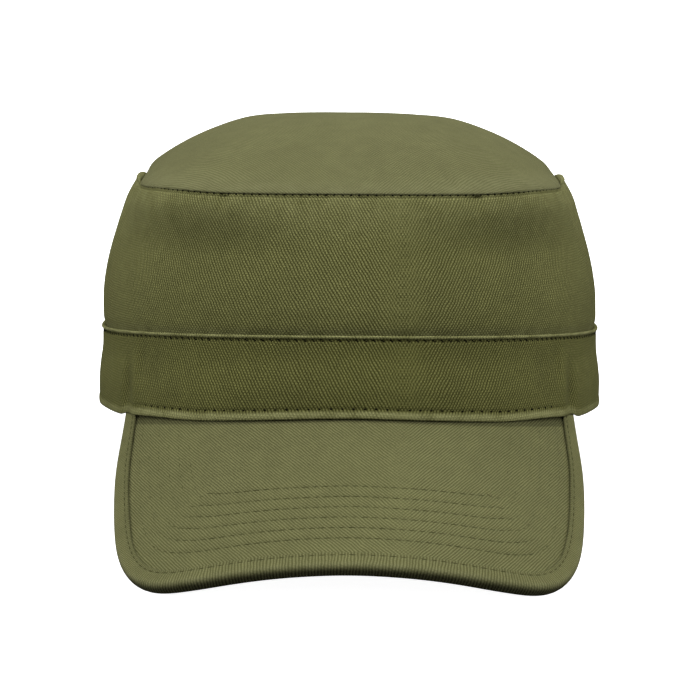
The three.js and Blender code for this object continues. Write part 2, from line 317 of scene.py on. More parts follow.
def edgeDistance(flat, edge):
    # distance from the edge, and the side share of its nearest part
    sideways = sidewaysShare(edge)
    distance, side = np.full(flat.shape[:-1], 1e9), np.zeros(flat.shape[:-1])
    for point, share in zip(edge[::3], sideways[::3]):
        reached = np.hypot(flat[..., 0] - point[0], flat[..., 1] - point[1])
        side = np.where(reached < distance, share, side)
        distance = np.minimum(distance, reached)
    return distance, side


def makePeak():
    outer, inner = peakOuterEdge(peak["columns"]), peakInnerEdge(peak["columns"])
    share = np.linspace(0.0, 1.0, peak["rows"])[:, None, None]
    plan = mix(inner[None], outer[None], share)
    flat = flatBoard(plan[..., 0], plan[..., 1])
    edge = flatBoard(*peakOuterEdge(1500).T)
    distance, side = edgeDistance(rowPlane(flat), rowPlane(edge))
    distance = distance - rowShift(flat[..., 0], distance, side)
    grooveAndPaintedShade = np.zeros_like(distance)
    for offset in peak["rowOffsets"]:
        grooveAndPaintedShade = np.maximum(grooveAndPaintedShade, bell(distance, offset, peak["grooveWidth"]))
    firstRow, lastRow = peak["rowOffsets"][0], peak["rowOffsets"][-1]
    quilted = smooth(distance, firstRow - peak["rowMargin"], firstRow)
    quilted = quilted * (1.0 - smooth(distance, lastRow, lastRow + peak["rowMargin"]))
    grooveAndPaintedShade = grooveAndPaintedShade * (1.0 - 0.75 * side)
    relief = peak["grooveDepth"] * grooveAndPaintedShade - peak["puff"] * quilted * (1.0 - grooveAndPaintedShade)
    relief = relief * smooth(distance, 0.0, 6.0)
    top = onBoard(plan, relief)
    under = onBoard(plan, peak["thickness"] - relief)
    points = np.concatenate([top, under[::-1]])
    fall = top[..., 2] / math.sin(math.atan(peak["slope"]))
    laid = mix(flat, np.stack([plan[..., 0], fall], axis=-1), peak["weaveFall"])
    uv = np.concatenate([laid, laid[::-1], laid[:1]])
    radius = np.hypot(plan[..., 0], plan[..., 1])
    fromBand = radius - ovalRadius(np.arctan2(plan[..., 0], -plan[..., 1]), 1.0, 1.0, 1.0)
    # painted contact shadow: a thin dark line on the peak where the band meets it, and painted shade along
    # the stitch rows, on top and underneath
    paintedContactShadow = bell(np.maximum(fromBand, 0.0), 0.0, 0.4)
    shade = np.concatenate([np.maximum(0.25 * grooveAndPaintedShade, paintedContactShadow), 0.25 * grooveAndPaintedShade[::-1]])
    marks = {"grooveAndPaintedShade": shade, "wearAndPaintedLight": np.zeros_like(shade)}
    return gridPiece("peakCover", points, uv, marks, wrapRows=True, capEnds=True)


def bindingSection():
    # the folded strip, from under the board round its edge to the top and back along its inner side
    outside = binding["gap"] + binding["cloth"]
    half = peak["thickness"] / 2.0 + outside
    inside = half - binding["cloth"]
    turn = np.linspace(-math.pi / 2.0, math.pi / 2.0, 17)
    roll = np.stack([np.cos(turn) * (half - 0.5), np.sin(turn) * half], axis=1) + (-half + 0.5 + outside, 0.0)
    legs = np.linspace(-binding["width"] + 0.35, -1.6, 9)
    bottom = np.stack([legs, np.full(9, -half)], axis=1)
    top = np.stack([legs[::-1], np.full(9, half)], axis=1)
    lipTop = [[-binding["width"], half - 0.3], [-binding["width"], inside]]
    inner = [[binding["gap"], inside], [binding["gap"], -inside]]
    lipBottom = [[-binding["width"], -inside], [-binding["width"], -half + 0.3]]
    bottom[:, 1] -= binding["underFold"]
    roll[:, 1] -= binding["underFold"] * (1.0 - smooth(roll[:, 1], -half, half * 0.6))
    lipBottom[1][1] -= binding["underFold"]
    section = np.concatenate([bottom, roll, top, lipTop, inner, lipBottom])
    return section - (0.0, peak["thickness"] / 2.0)


def bindingFrame(count):
    # places along the board's free edge, with the directions out of the edge and up
    plan = peakOuterEdge(count)
    edge = onBoard(plan, np.zeros(count))
    run = unit(np.gradient(edge, axis=0))
    up = boardNormal(plan[:, 0], plan[:, 1])
    return edge, unit(-np.cross(up, run)), up


def makeBinding():
    edge, out, up = bindingFrame(binding["steps"])
    section = bindingSection()
    along, around = runLength(edge), runLength(section)
    dice = np.random.default_rng(5)
    knots = np.arange(0, len(edge) + binding["wobbleSteps"], binding["wobbleSteps"])
    shifts = dice.uniform(-binding["wobble"], binding["wobble"], len(knots))
    wobble = np.interp(np.arange(len(edge)), knots, shifts)
    inset = section[:, 0] < -binding["width"] + 0.6
    points = edge[None] + section[:, 0, None, None] * out[None] + section[:, 1, None, None] * up[None]
    points = points + inset[:, None, None] * wobble[None, :, None] * out[None]
    height = section[:, 1] + peak["thickness"] / 2.0
    sink = bell(section[:, 0], binding["stitchInset"] - binding["width"], 0.5)
    points = points - (binding["stitchSink"] * sink * np.sign(height))[:, None, None] * up[None]
    uv = clothGrid(along[None, :], around[:, None])
    uv = np.concatenate([uv, uv[:1]])
    # lightened along the binding's outer fold: wear, and a painted highlight
    wearAndPaintedLight = 0.3 * bell(section[:, 0], 0.6, 1.2)[:, None]
    # painted shade: darker at the binding's inner edge on the board, along its stitch lines, and over its
    # underside, which the light from above leaves dark
    rim = bell(section[:, 0], -binding["width"], 0.35)[:, None]
    below = smooth(-height, -1.8, 0.2)[:, None]
    grooveAndPaintedShade = np.maximum(np.maximum(0.25 * sink[:, None], 0.8 * rim), 1.45 * below)
    marks = {"grooveAndPaintedShade": grooveAndPaintedShade, "wearAndPaintedLight": wearAndPaintedLight}
    return gridPiece("peakBinding", points, uv, marks, wrapRows=True, capEnds=True)


# Band: a doubled strip with a rolled lower edge and a folded lip

band = {
    "heights": (0.0, 0.1, 0.3, 0.5, 0.7, 0.94, 1.0),
    "sizes": (0.996, 0.997, 0.998, 0.993, 0.985, 0.983, 0.984),
    "rollHeight": 2.4,
    "rollOut": 0.5,
    "lipHeight": 1.05,
    "lipOut": 0.42,
    "edgeSeam": 3.1,
    "topSeam": 1.6,
    "liftStart": 46.0,
    "sag": -0.3,
    "sagMiddle": 66.0,
    "sagHalf": 8.0,
    "waves": {"seed": 3, "count": 9, "low": 5, "high": 40},
    "waveDepth": 0.16,
    "middleHeight": 13.0,
    "seamClear": 0.5,
    "creases": ((50.0, 3.5, 0.3, 0.38, 1.4), (40.0, 6.0, 0.5, 0.35, 0.7), (44.5, 2.6, 0.62, 0.3, 0.5)),
    "columns": 640,
}
peakEndAngle = math.atan2(peak["halfWidth"], peakEndDepth)


def edgeHeight(angle, radius):
    # the lower edge lies on the peak, clear of its binding, and is level past the peak's ends
    x, y = (radius * np.sin(angle) - peak["drift"]) / peak["spread"], -radius * np.cos(angle)
    pastEnd = np.abs(angle) - peakEndAngle - math.radians(1.5)
    overBinding = smooth(np.abs(x), band["liftStart"], peak["halfWidth"] - binding["width"])
    clear = band["seamClear"] + binding["cloth"] * overBinding
    height = boardHeight(x, y) + clear / boardNormal(x, y)[..., 2]
    sag = band["sag"] * bell(turnDegrees(angle), band["sagMiddle"], band["sagHalf"])
    return np.maximum(height, 0.0) * (1.0 - smooth(pastEnd, 0.0, math.radians(4.0))) - sag


def lipHeight(angle):
    # the upper lip, higher at the front
    return bandShape["height"] + bandShape["frontRise"] * np.maximum(np.cos(angle), 0.0) ** 2


def bandCreases(angle, share):
    # columns: middle angle, half angle, middle height, half height, depth
    turn = turnDegrees(angle)
    depth = np.zeros(np.broadcast_shapes(angle.shape, share.shape))
    for at, halfAngle, middle, halfHeight, deep in band["creases"]:
        across = bell(turn, at, 0.55 * halfAngle)
        depth = depth + deep * across * bell(share, middle, 0.75 * halfHeight)
    return depth


def bandPoints(angle, height, inset):
    # height in millimetres over the lower edge, as rows; angle as columns
    share = height / bandShape["height"]
    size = smoothTable(band["heights"], band["sizes"], share)
    radius = ovalRadius(angle, size, size, size) - inset
    radius = radius - bandCreases(angle, share)
    waves = band["waveDepth"] * ripples(angle, **band["waves"])
    radius = radius + waves * np.sin(np.clip(share, 0, 1) * math.pi)
    return roundPoints(radius, angle, mix(edgeHeight(angle, radius), lipHeight(angle), share))


def bump(height, middle, halfWidth):
    return np.sqrt(np.clip(1.0 - ((height - middle) / halfWidth) ** 2, 0.0, 1.0))


def makeBand():
    angle = roundAngles(band["columns"])
    tall = bandShape["height"]
    rollHalf, lipHalf = band["rollHeight"] / 2.0, band["lipHeight"] / 2.0
    heights = np.concatenate([
        np.linspace(0.02, band["rollHeight"], 13),
        np.linspace(band["rollHeight"] + 0.25, tall - band["lipHeight"] - 0.25, 54),
        np.linspace(tall - band["lipHeight"], tall - 0.02, 9),
    ])[:, None]
    turn = turnDegrees(angle)
    plain = smooth(turn, 42.0, 54.0) * (1.0 - smooth(turn, 75.0, 100.0))
    rolled = band["rollOut"] * bump(heights, rollHalf, rollHalf + 0.05) * (1.0 - 0.6 * plain)
    rolled = rolled + band["lipOut"] * bump(heights, tall - lipHalf, lipHalf + 0.05)
    seams = bell(heights, band["edgeSeam"], 0.5) * (1.0 - 0.8 * plain)
    topSeams = bell(heights, tall - band["topSeam"], 0.45)
    outside = bandPoints(angle, heights, 0.2 * seams + 0.3 * topSeams - rolled)
    insideHeights = np.concatenate([[tall - 0.25], np.linspace(tall - 1.0, 1.0, 14), [0.1]])[:, None]
    inside = bandPoints(angle, insideHeights, bandShape["cloth"])
    points = np.concatenate([outside, inside])
    ring = np.concatenate([heights, insideHeights])
    around = ringLength(bandPoints(angle, np.array([[band["middleHeight"]]]), 0.0)[0])
    uv = clothGrid(around[None, :], np.concatenate([ring, ring[:1]]))
    # painted shade at the seams, at the top of the rolled edge, under the lower edge and in the creases
    grooveAndPaintedShade = np.maximum(0.3 * seams, 0.55 * topSeams)
    grooveAndPaintedShade = np.maximum(grooveAndPaintedShade, 0.4 * bell(heights, band["rollHeight"], 0.3))
    grooveAndPaintedShade = np.maximum(grooveAndPaintedShade, 1.1 * bell(heights, 0.0, 0.3))
    grooveAndPaintedShade = np.maximum(grooveAndPaintedShade, 0.3 * bandCreases(angle, heights / tall))
    blank = np.zeros((len(insideHeights), band["columns"]))
    # the rolled edge and the lip are lightened: wear on the folds, and a painted highlight where they bulge
    # out
    wearAndPaintedLight = 1.8 * rolled / band["rollOut"]
    marks = {"grooveAndPaintedShade": np.concatenate([grooveAndPaintedShade, blank]), "wearAndPaintedLight": np.concatenate([wearAndPaintedLight, blank])}
    return gridPiece("bandCloth", points, uv, marks, wrapRows=True, wrapColumns=True)


def ringLength(points):
    # signed length round the cap from its front, one more value than points
    run = runLength(np.concatenate([points, points[:1]]))
    return run - run[-1] / 2.0


# Crown wall: from behind the band up to the crown seam, which it rolls over at the sides

wall = {
    "seamFront": 73.0,
    "seamBack": 77.0,
    "seamHalfWidth": 70.6,
    "seamPower": 3.0,
    "seamCorner": 0.9,
    "cloth": 1.4,
    "lift": 1.0,
    "heights": (0.0, 0.04, 0.13, 0.25, 0.38, 0.51, 0.64, 0.77, 0.89, 1.0),
    "side": (0.97, 0.978, 0.98, 0.978, 0.968, 0.952, 0.931, 0.908, 0.884, 0.847),
    "front": (0.97, 0.978, 0.98, 0.974, 0.964, 0.951, 0.936, 0.919, 0.901, 0.882),
    "back": (0.965, 0.976, 0.98, 0.979, 0.971, 0.959, 0.944, 0.927, 0.909, 0.892),
    "rollStart": (58.0, 76.0),
    "rollEnd": (90.0, 106.0),
    "rollOut": 0.65,
    "rollRadius": 0.95,
    "rollRise": 1.15,
    "rollTurn": (-20.0, 185.0),
    "rollSteps": 12,
    "waves": {"seed": 7, "count": 8, "low": 2, "high": 13},
    "waveDepth": 0.35,
    "gathers": {"seed": 11, "count": 12, "low": 30, "high": 110},
    "gatherDepth": 0.12,
    "gatherLength": 4.5,
    "tucks": ((-25.0, 0.8, 4.5, 0.9), (-23.2, 0.8, 4.0, -0.3), (25.0, 0.9, 5.0, 0.9), (2.0, 1.6, 3.0, 0.2),
              (-52.0, 1.6, 4.0, 0.3), (55.0, 1.6, 4.0, 0.3), (-97.0, 2.2, 5.0, 0.45), (99.0, 2.2, 5.0, 0.45),
              (150.0, 1.5, 5.0, 0.5), (-158.0, 1.5, 5.0, 0.5)),
    "hiddenHeights": (0.0, 8.0, 16.0, 23.5),
    "weaveHeight": 46.0,
    "hiddenWeave": 26.0,
    "rollWeave": 3.0,
    "insideSteps": 5,
    "columns": 640,
    "rows": 84,
}


def seamHeight(angle):
    corner = wall["seamCorner"] * smooth(turnDegrees(angle), 22.0, 45.0)
    return mix(wall["seamFront"] + corner, wall["seamBack"], smooth(-np.cos(angle), -0.45, 0.55))


def seamRadius(angle):
    front, back = wall["front"][-1] * oval["frontLength"], wall["back"][-1] * oval["backLength"]
    length = np.where(np.cos(angle) > 0.0, front, back)
    across = np.abs(np.sin(angle)) / wall["seamHalfWidth"]
    along = np.abs(np.cos(angle)) / length
    return (across ** wall["seamPower"] + along ** wall["seamPower"]) ** (-1.0 / wall["seamPower"])


def rollShare(angle):
    # where the cloth rolls over the seam, at the sides
    turn = turnDegrees(angle)
    return smooth(turn, *wall["rollStart"]) * (1.0 - smooth(turn, *wall["rollEnd"]))


def seamEnds(angle):
    # the front seam closes up towards its ends
    turn = turnDegrees(angle)
    return smooth(turn, 33.0, 46.0) * (1.0 - smooth(turn, 100.0, 120.0))


def seamTucks(angle, below, tucks):
    # small gathers that run away from the seam; columns: middle angle, half angle, length, depth
    turn = np.degrees(angle)
    depth = np.zeros(np.broadcast_shapes(angle.shape, below.shape))
    for at, halfAngle, length, deep in tucks:
        depth = depth + deep * bell(turn, at, halfAngle) * bell(below, 0.0, length)
    fine = wall["gatherDepth"] * ripples(angle, **wall["gathers"]) * bell(below, 0.0, wall["gatherLength"])
    return depth + fine


def seamEdge(angle, lastRadius):
    # the wall's upper edge: a fold over the seam at the sides, and elsewhere a plain turned edge
    seam, ring, roll = seamHeight(angle), seamRadius(angle), rollShare(angle)
    turn = np.radians(np.linspace(*wall["rollTurn"], wall["rollSteps"]))[:, None]
    step = np.linspace(0.0, 1.0, wall["rollSteps"])[:, None]
    rolledOut = wall["rollOut"] + wall["rollRadius"] * np.cos(turn)
    rolledUp = wall["rollRise"] + wall["rollRadius"] * np.sin(turn)
    plainOut = 0.15 - 0.35 * step**3
    plainUp = -0.95 + 0.85 * smooth(step, 0.0, 0.8)
    sink = seamTucks(angle, np.array([[1.0]]), wall["tucks"]) * (1.0 - step) * (1.0 - roll)
    width = (lastRadius - ring) / rolledOut[0]
    return ring + mix(plainOut, rolledOut * width, roll) - sink, seam + mix(plainUp, rolledUp, roll)


def wallMarks(angle, radius, z):
    lip, seam, ring, roll = lipHeight(angle), seamHeight(angle), seamRadius(angle), rollShare(angle)
    # painted shade: a thin dark line over the lip, in the seam's gap, and under the fold over the seam at the
    # sides
    paintedLipShade = 0.12 * bell(z, lip, 0.5)
    paintedSeamShade = smooth(z, seam - 0.35, seam - 0.15) * (1.0 - roll)
    paintedSeamShade = paintedSeamShade + 0.7 * roll * (z > seam) * (radius < ring + 0.5)
    grooveAndPaintedShade = np.clip(paintedLipShade + 0.15 * paintedSeamShade * (1.0 - seamEnds(angle)), 0.0, 1.0)
    # painted light: lighter on the fold over the seam at the sides, towards the top of the wall where the
    # light from above falls more, and just over the lip, against the shade there
    wearAndPaintedLight = 0.35 * roll * smooth(z, seam - 1.5, seam + 0.5) + 0.3 * smooth(z, lip + 24.0, seam)
    return grooveAndPaintedShade, wearAndPaintedLight + 0.65 * bell(z, lip, 1.6)


def makeWall():
    angle = roundAngles(wall["columns"])
    lip, seam, ring, roll = lipHeight(angle), seamHeight(angle), seamRadius(angle), rollShare(angle)
    rim = mix(seam - 1.07, seam + wall["rollRise"] - wall["rollRadius"] / 2.0, roll)
    z = mix(lip, rim, np.linspace(0.0, 1.0, wall["rows"])[:, None])
    share = (z - lip) / (seam + wall["rollRise"] * roll - lip)
    size = [smoothTable(wall["heights"], wall[column], share) for column in ("side", "front", "back")]
    end = ovalRadius(angle, wall["side"][-1], wall["front"][-1], wall["back"][-1])
    radius = ovalRadius(angle, *size) + (ring + 0.2 - end) * smooth(share, 0.55, 1.0) * (1.0 - roll)
    radius = radius + wall["waveDepth"] * ripples(angle, **wall["waves"]) * np.sin(share * math.pi)
    radius = radius - seamTucks(angle, seam - z, wall["tucks"])
    edgeRadius, edgeHigh = seamEdge(angle, radius[-1])
    radius, z = np.concatenate([radius, edgeRadius]), np.concatenate([z, edgeHigh])
    outside = roundPoints(radius, angle, z)
    hiddenHeights = np.array(wall["hiddenHeights"])[:, None]
    hidden = bandPoints(angle, hiddenHeights, bandShape["cloth"] + gap + 0.1)
    hidden[0, :, 2] += wall["lift"]
    skin = np.concatenate([hidden, outside])
    hiddenCount, spacing = len(hiddenHeights), wall["insideSteps"]
    picks = np.concatenate([np.arange(hiddenCount), np.arange(spacing, wall["rows"] + 2, spacing)])
    inside = inwards(skin, wall["cloth"], angle)[picks[::-1]]
    around = ringLength(outside[wall["rows"] // 3])
    tall = wall["weaveHeight"]
    rise = np.concatenate([hiddenHeights[:, 0] - wall["hiddenWeave"], np.linspace(0.0, tall, wall["rows"]),
                           np.linspace(tall, tall + wall["rollWeave"], wall["rollSteps"])])
    rise = np.concatenate([rise, rise[picks[::-1]], rise[:1]])
    uv = clothGrid(around[None, :], rise[:, None])
    blanks = np.zeros((hiddenCount, wall["columns"])), np.zeros((len(picks), wall["columns"]))
    marks = {mark: np.concatenate([blanks[0], values, blanks[1]])
             for mark, values in zip(("grooveAndPaintedShade", "wearAndPaintedLight"), wallMarks(angle, radius, z))}
    return gridPiece("crownWall", np.concatenate([skin, inside]), uv, marks, wrapRows=True, wrapColumns=True)


def inwards(skin, cloth, angle):
    # the skin moved towards the inside, square to its run up the cap
    radius = np.hypot(skin[..., 0], skin[..., 1])
    runOut, runUp = np.gradient(radius, axis=0), np.gradient(skin[..., 2], axis=0)
    length = np.hypot(runOut, runUp) + 1e-9
    return roundPoints(radius - cloth * runUp / length, angle, skin[..., 2] + cloth * runOut / length)


# Crown top: a domed oval panel

top = {
    "crest": 98.1,
    "cloth": 1.4,
    "drift": -0.45,
    "fullness": (0.858, 0.882, 0.892),
    "sizes": (0.0, 0.15, 0.32, 0.495, 0.656, 0.772, 0.865, 0.94, 0.985, 1.0),
    "rises": (1.0, 0.993, 0.97, 0.91, 0.735, 0.555, 0.37, 0.19, 0.075, 0.03),
    "tucks": ((-23.0, 2.0, 7.0, 0.5), (22.0, 2.0, 7.0, 0.55), (-3.0, 2.5, 5.0, 0.25), (-60.0, 3.0, 6.0, 0.35),
              (64.0, 3.0, 6.0, 0.3), (-104.0, 2.5, 6.0, 0.4), (107.0, 2.5, 6.0, 0.4), (160.0, 3.0, 7.0, 0.4),
              (-148.0, 3.0, 7.0, 0.4)),
    "waves": {"seed": 21, "count": 6, "low": 2, "high": 9},
    "waveDepth": 0.3,
    "edge": ((-0.3, 0.02), (0.0, 0.08), (0.12, 0.35), (0.05, 0.75)),
    "edgeShades": (0.3, 0.1, 0.0, 0.0),
    "turnedEdge": 12.0,
    "insideSteps": 6,
    "columns": 640,
    "rows": 90,
}


def makeTop():
    angle = roundAngles(top["columns"])
    size = (1.0 - np.linspace(0.006, 1.0, top["rows"]) ** 1.15)[:, None]
    seam, outer, roll = seamHeight(angle), seamRadius(angle), rollShare(angle)
    rise = smoothTable(top["sizes"], top["rises"], size)
    full = ovalRadius(angle, *top["fullness"])
    ring = mix(outer, full, smooth(1.0 - size, 0.0, 0.1)) * size
    fromSeam = np.maximum(outer * (1.0 - size), 0.0)
    z = mix(seam, top["crest"], rise)
    tucks = seamTucks(angle + 0.02, fromSeam, top["tucks"]) * smooth(fromSeam, 0.4, 1.6)
    z = z - 0.8 * tucks + top["waveDepth"] * ripples(angle, **top["waves"]) * np.sin(size * math.pi)
    edge = np.array(top["edge"])
    edgeCount = len(edge)
    edgeRadius = outer + edge[:, :1] - 0.1 * roll
    edgeHigh = seam + edge[:, 1:] - 0.28 * seamEnds(angle) * (edge[:, :1] < 0.1)
    radius = np.concatenate([edgeRadius, ring])
    height = np.concatenate([edgeHigh, np.maximum(z, seam + 0.9)])
    outside = roundPoints(radius, angle, height)
    outside[edgeCount:, :, 0] += top["drift"] * smooth(fromSeam, 0.0, 6.0)
    picks = np.arange(len(outside) - 1, top["insideSteps"], -top["insideSteps"])
    inner = outside[picks].copy()
    thicker = 1.0 + 0.35 * (1.0 - smooth(fromSeam, 0.0, 25.0))
    inner[..., 2] -= top["cloth"] * thicker[picks - edgeCount]
    foot = roundPoints(outer - top["cloth"], angle, seam + 0.12)
    points = np.concatenate([outside, inner, foot])
    side = top["columns"] // 2
    run = runLength(np.stack([radius[:, side], height[:, side]], axis=1))
    reach = (run[-1] - run) / run[-1]
    flat = roundPoints(reach[:, None] * (outer + top["turnedEdge"]), angle, 0.0)[..., :2]
    uv = np.concatenate([flat, flat[picks], flat[:1], flat[:1]])
    uv = np.concatenate([uv, uv[:, :1]], axis=1)
    # painted shade on the turned edge beside the seam and just inside it
    edgeShade = np.array(top["edgeShades"])[:, None] * (1.0 - seamEnds(angle))
    grooveAndPaintedShade = np.concatenate([edgeShade, 0.15 * bell(fromSeam, 0.0, 0.8)])
    # painted highlight on the turned edge and just beside the seam
    wearAndPaintedLight = np.concatenate([np.full((edgeCount, top["columns"]), 0.2), 0.15 * bell(fromSeam, 0.0, 4.0)])
    blank = np.zeros((len(picks) + 1, top["columns"]))
    marks = {"grooveAndPaintedShade": np.concatenate([grooveAndPaintedShade, blank]), "wearAndPaintedLight": np.concatenate([wearAndPaintedLight, blank])}
    return gridPiece("crownTop", points, uv, marks, wrapRows=True, wrapColumns=True)


# Rest: the cap leans back until the peak's corners and the back of the rim are level

press = 0.4
restShift = 27.751


def leanToRest():
    edge, out, up = bindingFrame(400)
    section = bindingSection()
    low = edge[:, None] + section[None, :, :1] * out[:, None] + section[None, :, 1:] * up[:, None]
    rollOut = band["rollOut"] * np.array([[0.0], [0.8], [1.0]])
    rim = bandPoints(np.linspace(-math.pi, math.pi, 720)[None, :], np.array([[0.02], [0.6], [1.2]]), -rollOut)
    start, end = 0.0, math.pi / 4.0
    for _ in range(40):
        lean = (start + end) / 2.0
        heights = [(points[..., 2] * math.cos(lean) - points[..., 1] * math.sin(lean)).min()
                   for points in (low, rim)]
        if heights[0] < heights[1]:
            start = lean
        else:
            end = lean
    return lean, heights[0]


lean, lowest = leanToRest()
rest = {"cosine": math.cos(lean), "sine": math.sin(lean), "lift": -lowest - press, "shift": restShift}
print("lean", round(math.degrees(lean), 3), "lift", round(rest["lift"], 3), "shift", round(rest["shift"], 3))


# Materials

def link(tree, start, end):
    tree.links.new(start, end)


def addNode(tree, kind, inputs, **settings):
    # inputs, by name or number, are sockets to link from or plain values
    node = tree.nodes.new(kind)
    for key, value in settings.items():
        setattr(node, key, value)
    for key, value in inputs.items():
        if isinstance(value, bpy.types.NodeSocket):
            link(tree, value, node.inputs[key])
        else:
            node.inputs[key].default_value = value
    return node


def mathNode(tree, operation, first, second=0.5, third=0.5):
    inputs = {0: first, 1: second, 2: third}
    return addNode(tree, "ShaderNodeMath", inputs, operation=operation).outputs[0]


def times(tree, first, second):
    return mathNode(tree, "MULTIPLY", first, second)


def noiseNode(tree, vector, scale, detail=2.0, roughness=0.5):
    inputs = {"Scale": scale, "Detail": detail, "Roughness": roughness, "Vector": vector}
    return addNode(tree, "ShaderNodeTexNoise", inputs).outputs["Fac"]


def twillSlant(tree, given, along, up, side):
    # ribs of one slant: side is 1 for ribs that fall to the right, -1 for the other way
    turn = mathNode(tree, "RADIANS", given.outputs["Angle"])
    sine, cosine = mathNode(tree, "SINE", turn), mathNode(tree, "COSINE", turn)
    across = times(tree, along, float(-side))
    rib = mathNode(tree, "SUBTRACT", times(tree, across, sine), times(tree, up, cosine))
    ribPhase = mathNode(tree, "DIVIDE", rib, given.outputs["Pitch"])
    run = mathNode(tree, "ADD", times(tree, across, cosine), times(tree, up, sine))
    runPhase = mathNode(tree, "ADD", mathNode(tree, "DIVIDE", run, given.outputs["Float Length"]),
                        times(tree, mathNode(tree, "ROUND", ribPhase), 0.37))
    waves = []
    for phase in (ribPhase, runPhase):
        wave = mathNode(tree, "COSINE", times(tree, phase, 2.0 * math.pi))
        waves.append(mathNode(tree, "MULTIPLY_ADD", wave, 0.5, 0.5))
    beads = mathNode(tree, "MULTIPLY_ADD", waves[1], given.outputs["Beads"],
                     mathNode(tree, "SUBTRACT", 1.0, given.outputs["Beads"]))
    return times(tree, mathNode(tree, "POWER", waves[0], 0.8), beads)


def twillGroup():
    # diagonal floats of a twill weave, whose slant turns round at one upright line
    tree = bpy.data.node_groups.new("twillWeave", "ShaderNodeTree")
    tree.interface.new_socket("Cloth", in_out="INPUT", socket_type="NodeSocketVector")
    for name, value in (("Pitch", 0.00094), ("Angle", 62.0), ("Mirror", 0.0), ("Blend", 0.006),
                        ("Float Length", 0.0012), ("Beads", 0.4)):
        socket = tree.interface.new_socket(name, in_out="INPUT", socket_type="NodeSocketFloat")
        socket.default_value = value
    for name in ("Height", "Yarn"):
        tree.interface.new_socket(name, in_out="OUTPUT", socket_type="NodeSocketFloat")
    given = tree.nodes.new("NodeGroupInput")
    result = tree.nodes.new("NodeGroupOutput")
    split = addNode(tree, "ShaderNodeSeparateXYZ", {0: given.outputs["Cloth"]})
    drift = noiseNode(tree, given.outputs["Cloth"], 240.0, 3.0)
    driftLength = times(tree, mathNode(tree, "SUBTRACT", drift, 0.5), 0.0012)
    along = mathNode(tree, "SUBTRACT", split.outputs["X"], given.outputs["Mirror"])
    moved = mathNode(tree, "ADD", along, driftLength)
    left = twillSlant(tree, given, moved, split.outputs["Y"], 1)
    right = twillSlant(tree, given, moved, split.outputs["Y"], -1)
    share = mathNode(tree, "MULTIPLY_ADD", mathNode(tree, "DIVIDE", along, given.outputs["Blend"]), 0.5, 0.5)
    share = mathNode(tree, "MINIMUM", mathNode(tree, "MAXIMUM", share, 0.0), 1.0)
    blend = addNode(tree, "ShaderNodeMix", {0: share, 2: left, 3: right})
    link(tree, blend.outputs[0], result.inputs["Height"])
    link(tree, noiseNode(tree, given.outputs["Cloth"], 1500.0, 2.0, 0.7), result.inputs["Yarn"])
    return tree


def olive(level, blue):
    return (level, level, blue, 1.0)


def colourMix(tree, factor, first, second, blend="MIX"):
    inputs = {0: factor, 6: first, 7: second}
    return addNode(tree, "ShaderNodeMix", inputs, data_type="RGBA", blend_type=blend).outputs[2]


def remap(tree, value, fromLow, fromHigh, toLow, toHigh):
    inputs = {"Value": value, "From Min": fromLow, "From Max": fromHigh, "To Min": toLow, "To Max": toHigh}
    return addNode(tree, "ShaderNodeMapRange", inputs).outputs["Result"]


def markNode(tree, name):
    return addNode(tree, "ShaderNodeAttribute", {}, attribute_name=name).outputs["Fac"]


def newMaterial(name):
    material = bpy.data.materials.new(name)
    material.use_nodes = True
    return material, material.node_tree, material.node_tree.nodes["Principled BSDF"]


def addBump(tree, height, distance, shader):
    node = addNode(tree, "ShaderNodeBump", {"Distance": distance, "Strength": 1.0, "Height": height})
    link(tree, node.outputs["Normal"], shader.inputs["Normal"])


